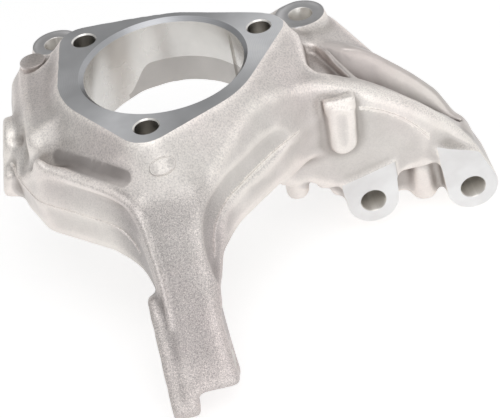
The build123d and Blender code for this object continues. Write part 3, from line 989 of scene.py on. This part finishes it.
def machined_material(name, colour, rough, mark_scale, along, metallic, brushed_and_sheen):
    """Cut aluminium with fine tool marks: rings about Z, rings down a bore, or straight lines; brushed faces
    also get painted sheen in sectors round the axis.
    """
    material, tree, shader = new_material(name)
    coords = add(tree, "ShaderNodeTexCoord").outputs["Object"]
    kinds = {"rings": ("RINGS", "rings_direction", "Z"), "bore": ("BANDS", "bands_direction", "Z"),
             "lines": ("BANDS", "bands_direction", "X")}
    wave_type, direction, axis = kinds[along]
    wave = add(tree, "ShaderNodeTexWave", wave_type=wave_type, Scale=mark_scale, Distortion=0.8, Detail=2.0)
    setattr(wave, direction, axis)
    tree.links.new(coords, wave.inputs["Vector"])
    cloud = noise(tree, coords, 35.0, 3.0)
    dark = tuple(0.88 * c for c in colour)
    light = tuple(min(1.0, 1.07 * c) for c in colour)
    tone = toned(tree, cloud, [(0.3, dark), (0.7, light)])
    streak = toned(tree, wave.outputs["Fac"], [(0.0, (0.96, 0.96, 0.96)), (1.0, (1.03, 1.03, 1.03))])
    if brushed_and_sheen:
        # Painted sheen: brightness sectors round the axis, painted into the colour.
        sweep = add(tree, "ShaderNodeTexGradient", gradient_type="RADIAL")
        tree.links.new(coords, sweep.inputs["Vector"])
        painted_sheen = toned(tree, sweep.outputs["Fac"], [(place, (v, v, v)) for place, v in painted_sheen_sectors])
        streak = tinted(tree, streak, painted_sheen)
    tree.links.new(tinted(tree, tone, streak), shader.inputs["Base Color"])
    tree.links.new(mapped(tree, cloud, end=(rough - 0.04, rough + 0.06)), shader.inputs["Roughness"])
    shader.inputs["Metallic"].default_value = metallic
    if brushed_and_sheen:
        shader.inputs["Anisotropic"].default_value = brushed_and_sheen
        spin = add(tree, "ShaderNodeTangent", direction_type="RADIAL", axis="Z")
        tree.links.new(spin.outputs["Tangent"], shader.inputs["Tangent"])
    speckle = noise(tree, coords, 900.0, 2.0)
    bumped(tree, shader, [(wave.outputs["Fac"], 0.10, 0.0002), (speckle, 0.06, 0.0003)])
    return material


def dress(obj):
    """Gives each face of the casting the finish that its place calls for."""
    mesh = obj.data
    mesh.materials.clear()
    mesh.materials.append(cast_material())
    number = {}
    for name, values in finishes.items():
        number[name] = len(mesh.materials)
        mesh.materials.append(machined_material(*values))
    count = len(mesh.polygons)
    c = read(mesh.polygons, "center", 3) / MM
    n = read(mesh.polygons, "normal", 3)
    kind = np.zeros(count, np.int32)
    radius = np.hypot(c[:, 0], c[:, 1])
    slanted = (n[:, 2] > 0.5) & (n[:, 2] < 0.9)
    kind[(np.abs(c[:, 2]) < flat_tolerance) & (n[:, 2] > 0.99)] = number["hub_face"]
    in_bore = (np.abs(radius - bore_r - 1.2) < 1.6) & (np.abs(n[:, 2]) < 0.3) & (c[:, 2] > -bore_depth - 8)
    kind[in_bore] = number["bore"]
    kind[in_bore & (radius > bore_r + 0.7) & (c[:, 2] < -relief_drop + 1)] = number["relief"]
    kind[(radius < bore_r + bore_chamfer + 0.1) & (c[:, 2] > -bore_chamfer) & slanted] = number["chamfer"]
    for angle in bolt_angles:
        x, y = polar(bolt_circle_r, angle)
        near = np.hypot(c[:, 0] - x, c[:, 1] - y) < bolt_r + bolt_chamfer + 0.05
        kind[near & (n[:, 2] < 0.9) & (c[:, 2] > -85)] = number["drilled"]
        kind[near & (n[:, 2] > 0.4) & (n[:, 2] < 0.9) & (c[:, 2] > -bolt_chamfer)] = number["bore"]
    for x, y, _ in caliper_centres:
        off = np.hypot(c[:, 0] - x, c[:, 1] - y)
        level = np.abs(c[:, 2] - caliper_face_z) < face_step + 0.05
        kind[(off < caliper_boss_r + 1.3) & level & (n[:, 2] > 0.5)] = number["boss_face"]
        kind[(off < caliper_r + 1.0) & (np.abs(n[:, 2]) < 0.9)] = number["drilled"]
    for x, _, z in ear_centres:
        level = np.abs(c[:, 1] - ear_face_y) < flat_tolerance
        kind[level & (n[:, 1] < -0.99) & (np.abs(c[:, 0] - x) < 32)] = number["ear_face"]
        off = np.hypot(c[:, 0] - x, c[:, 2] - z)
        kind[(off < ear_hole_r + 0.9) & (np.abs(n[:, 1]) < 0.9)] = number["drilled"]
    for name in end_bores:
        away = c - mount_mm(name)
        axis = np.array(mounts[name]["axis"])
        along = away @ axis
        off = np.linalg.norm(away - along[:, None] * axis, axis=1)
        deep = along > -mounts[name]["dims"]["length_mm"] - 5
        kind[(off < mount_r(name) + 1.0) & deep] = number["drilled"]
    mesh.polygons.foreach_set("material_index", kind)
    mesh.polygons.foreach_set("use_smooth", np.ones(count, bool))
    mark_sharp(mesh)


def mark_sharp(mesh):
    """Sharp edges where a machined face meets anything else at an angle."""
    bm = bmesh.new()
    bm.from_mesh(mesh)
    for edge in bm.edges:
        if len(edge.link_faces) == 2:
            a, b = edge.link_faces
            turn = a.normal.angle(b.normal, 0.0)
            differ = a.material_index != b.material_index
            edge.smooth = not ((differ and turn > sharp_meeting) or turn > sharp_anywhere)
    bm.to_mesh(mesh)
    bm.free()
    mesh.update()


# Surroundings: the world's grey, the floor's size and tones, and each lamp's place, size and power.
world_grey = 0.46
floor_mm = 3000
floor_tone, floor_glow = 0.82, 0.58
lamps = (("key", (0.1, -0.9, 1.7), 1.6, 7.5), ("fill", (0.25, -1.5, 0.0), 1.2, 6.0))
lamp_aim = Vector((0.03, -0.03, -0.05))
focal_px = 1500.37
camera_right = (0.9751, -0.1540, -0.1593)
camera_down = (-0.2205, -0.6028, -0.7668)
camera_shift = (-53.33, -89.27, 915.54)


def seen_directly(tree):
    """1 for rays that show the background: from the camera, off a glossy surface or through glass."""
    path = add(tree, "ShaderNodeLightPath")
    either = combined(tree, "MAXIMUM", path.outputs["Is Camera Ray"], path.outputs["Is Glossy Ray"])
    return combined(tree, "MAXIMUM", either, path.outputs["Is Transmission Ray"])


def studio_world():
    """White horizon, soft boxes over the front, at the right and high at the left, grey in between."""
    world = bpy.data.worlds.new("studio")
    bpy.context.scene.world = world
    world.use_nodes = True
    tree = world.node_tree
    background = tree.nodes["Background"]
    split = add(tree, "ShaderNodeSeparateXYZ")
    tree.links.new(add(tree, "ShaderNodeTexCoord").outputs["Generated"], split.inputs[0])
    x, y, z = (split.outputs[k] for k in ("X", "Y", "Z"))
    level = combined(tree, "SUBTRACT", 1.0, step_between(tree, z, 0.02, 0.12))
    ahead = combined(tree, "SUBTRACT", 1.0, step_between(tree, y, 0.0, 0.3))
    front = combined(tree, "MULTIPLY", step_between(tree, z, 0.5, 0.75), ahead)
    leftward = combined(tree, "SUBTRACT", 1.0, step_between(tree, x, -0.4, -0.15))
    left = combined(tree, "MULTIPLY", leftward, 0.9)
    left = combined(tree, "MULTIPLY", step_between(tree, z, 0.45, 0.75), left)
    right = combined(tree, "MULTIPLY", step_between(tree, x, 0.15, 0.45), 0.85)
    sides = combined(tree, "MAXIMUM", left, right)
    white = combined(tree, "MAXIMUM", combined(tree, "MAXIMUM", level, front), sides)
    value = combined(tree, "ADD", combined(tree, "MULTIPLY", white, 1 - world_grey), world_grey)
    tree.links.new(value, background.inputs["Color"])
    tree.links.new(mapped(tree, seen_directly(tree), end=(0.5, 1.0)), background.inputs["Strength"])


def white_floor():
    """Pale table that keeps the shadow of the casting."""
    low = cad_box[0][2] / MM - 0.5
    signs = ((-1, -1), (1, -1), (1, 1), (-1, 1))
    floor = mesh_object("floor", [(a * floor_mm, b * floor_mm, low) for a, b in signs], [(0, 1, 2, 3)])
    material = bpy.data.materials.new("paper")
    material.use_nodes = True
    tree = material.node_tree
    tree.nodes.clear()
    matt = add(tree, "ShaderNodeBsdfDiffuse")
    matt.inputs["Color"].default_value = (floor_tone, floor_tone, floor_tone, 1)
    glow = add(tree, "ShaderNodeEmission")
    tree.links.new(combined(tree, "MULTIPLY", seen_directly(tree), floor_glow), glow.inputs["Strength"])
    both = add(tree, "ShaderNodeAddShader")
    tree.links.new(matt.outputs[0], both.inputs[0])
    tree.links.new(glow.outputs[0], both.inputs[1])
    tree.links.new(both.outputs[0], add(tree, "ShaderNodeOutputMaterial").inputs["Surface"])
    floor.data.materials.append(material)


def surroundings():
    """World, floor and soft lamps."""
    studio_world()
    white_floor()
    for name, place, size, power in lamps:
        lamp = bpy.data.lights.new(name, "AREA")
        lamp.size = size
        lamp.energy = power
        obj = bpy.data.objects.new(name, lamp)
        obj.location = place
        obj.rotation_euler = (lamp_aim - Vector(place)).to_track_quat("-Z", "Y").to_euler()
        bpy.context.scene.collection.objects.link(obj)


def camera():
    """Camera that was fitted to the photograph."""
    data = bpy.data.cameras.new("camera")
    data.sensor_fit = "HORIZONTAL"
    data.sensor_width = 36.0
    data.lens = focal_px / PHOTO_WIDTH * data.sensor_width
    data.clip_start = 0.05
    obj = bpy.data.objects.new("camera", data)
    right = Vector(camera_right).normalized()
    down = Vector(camera_down)
    down = (down - right * down.dot(right)).normalized()
    ahead = right.cross(down)
    shift = Vector(camera_shift) * MM
    place = -(right * shift.x + down * shift.y + ahead * shift.z)
    turn = Matrix((right, -down, -ahead)).transposed()
    obj.matrix_world = Matrix.Translation(place) @ turn.to_4x4()
    bpy.context.scene.collection.objects.link(obj)
    bpy.context.scene.camera = obj


casting = build_casting()
dress(casting)
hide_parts(NODE)
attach(casting, "root")
surroundings()
camera()
bpy.context.scene.view_settings.view_transform = "Standard"
